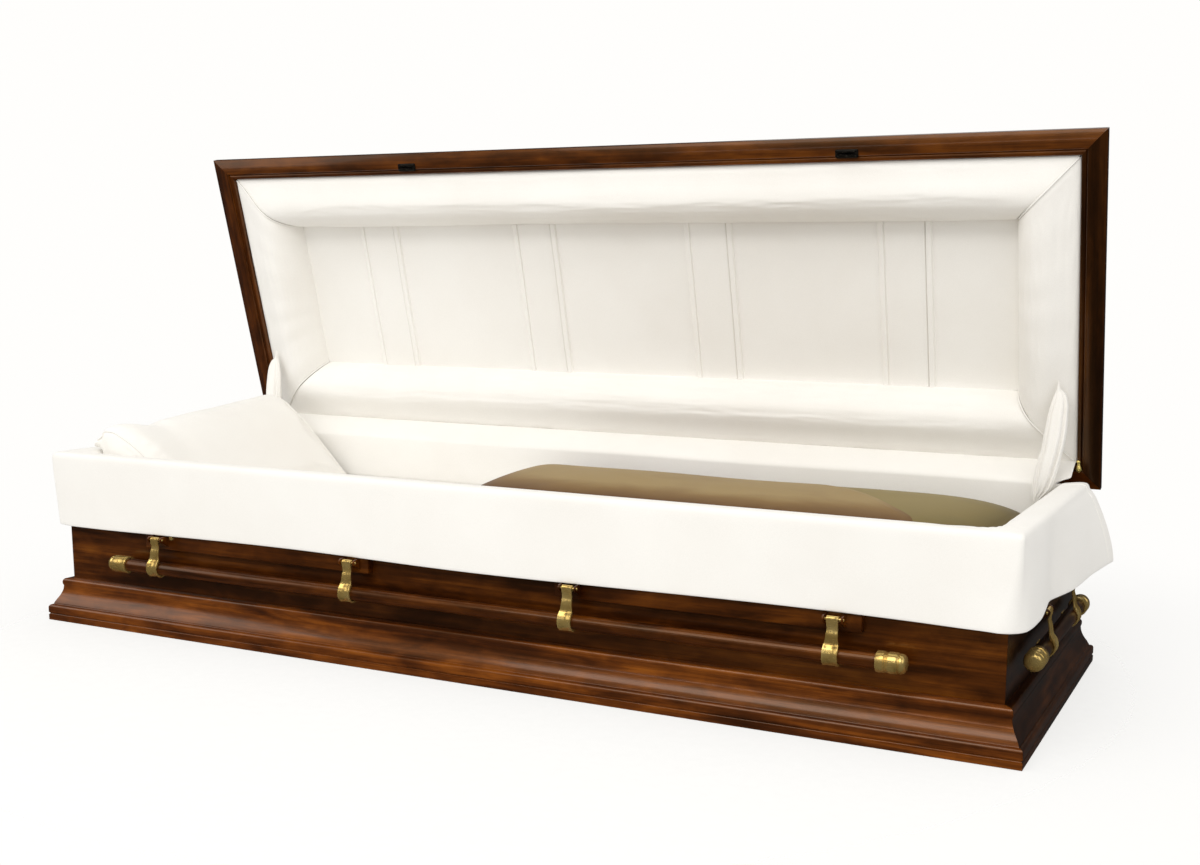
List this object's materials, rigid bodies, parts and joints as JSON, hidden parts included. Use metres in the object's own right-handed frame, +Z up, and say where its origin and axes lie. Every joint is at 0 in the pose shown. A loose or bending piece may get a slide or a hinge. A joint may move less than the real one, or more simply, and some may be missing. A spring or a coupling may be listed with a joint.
{
  "type": "funeral casket",
  "caption": "Full-length wooden burial casket on a moulded base, with a hinged lined lid, turned-out cloth apron, padded bed and swing-bar handles.",
  "frame": {"origin": "on the floor, under the centre of the base", "axes": "+X along the length towards the foot end, -Y towards the open front side, +Z up; the lid is stored open"},
  "size_m": [2.1792, 0.8498, 1.036],
  "materials": {
    "mahogany": "gloss lacquered dark mahogany",
    "plain_wood": "plain board",
    "brass": "antique brushed brass",
    "black_metal": "blackened steel",
    "white_cloth": "warm white crepe",
    "ticking": "white ticking",
    "taupe_satin": "taupe satin"
  },
  "bodies": {
    "casket_body": {"base_moulding_front": "mahogany", "side_board_front": "mahogany", "base_moulding_back": "mahogany", "side_board_back": "mahogany", "base_moulding_head": "mahogany", "side_board_head": "mahogany", "base_moulding_foot": "mahogany", "side_board_foot": "mahogany", "floor_board": "plain_wood", "bed_frame": "plain_wood", "body_lining": "white_cloth", "mattress": "ticking", "pillow": "white_cloth", "foot_throw": "taupe_satin", "overlay": "white_cloth", "stay_sleeve_head": "white_cloth", "stay_sleeve_foot": "white_cloth", "hinge_cover": "white_cloth", "hinge_leaf_body": "brass", "handle_strip_front_head": "mahogany", "handle_strip_front_foot": "mahogany", "handle_strip_back_head": "mahogany", "handle_strip_back_foot": "mahogany", "handle_strip_head": "mahogany", "handle_strip_foot": "mahogany"},
    "lid": {"lid_rail_front": "mahogany", "lid_rail_back": "mahogany", "lid_rail_head": "mahogany", "lid_rail_foot": "mahogany", "lid_crown": "mahogany", "lid_roll": "white_cloth", "lid_panel": "white_cloth", "latch_plate_head": "black_metal", "latch_plate_foot": "black_metal", "hinge_leaf_lid": "brass"},
    "handle_front": {"handle_bar_front": "mahogany", "handle_cap_front_head": "brass", "handle_cap_front_foot": "brass", "handle_arm_front_1": "brass", "handle_arm_front_2": "brass", "handle_arm_front_3": "brass", "handle_arm_front_4": "brass"},
    "handle_back": {"handle_bar_back": "mahogany", "handle_cap_back_head": "brass", "handle_cap_back_foot": "brass", "handle_arm_back_1": "brass", "handle_arm_back_2": "brass", "handle_arm_back_3": "brass", "handle_arm_back_4": "brass"},
    "handle_head": {"handle_bar_head": "mahogany", "handle_cap_head_near": "brass", "handle_cap_head_far": "brass", "handle_arm_head_1": "brass", "handle_arm_head_2": "brass"},
    "handle_foot": {"handle_bar_foot": "mahogany", "handle_cap_foot_near": "brass", "handle_cap_foot_far": "brass", "handle_arm_foot_1": "brass", "handle_arm_foot_2": "brass"}
  },
  "joints": [
    {"name": "lid_hinge", "type": "hinge", "parent": "casket_body", "child": "lid", "pos_m": [0, 0.3389, 0.3579], "axis": [1, 0, 0], "range_deg": [0, 76.4], "deforming": ["stay_sleeve_head", "stay_sleeve_foot", "hinge_cover", "pillow"]},
    {"name": "handle_front_swing", "type": "hinge", "parent": "casket_body", "child": "handle_front", "pos_m": [0, -0.3462, 0.205], "axis": [-1, 0, 0], "range_deg": [0, 78]},
    {"name": "handle_back_swing", "type": "hinge", "parent": "casket_body", "child": "handle_back", "pos_m": [0, 0.3462, 0.205], "axis": [1, 0, 0], "range_deg": [0, 78]},
    {"name": "handle_head_swing", "type": "hinge", "parent": "casket_body", "child": "handle_head", "pos_m": [-1.0527, 0, 0.205], "axis": [0, 1, 0], "range_deg": [0, 78]},
    {"name": "handle_foot_swing", "type": "hinge", "parent": "casket_body", "child": "handle_foot", "pos_m": [1.0527, 0, 0.205], "axis": [0, -1, 0], "range_deg": [0, 78]}
  ]
}
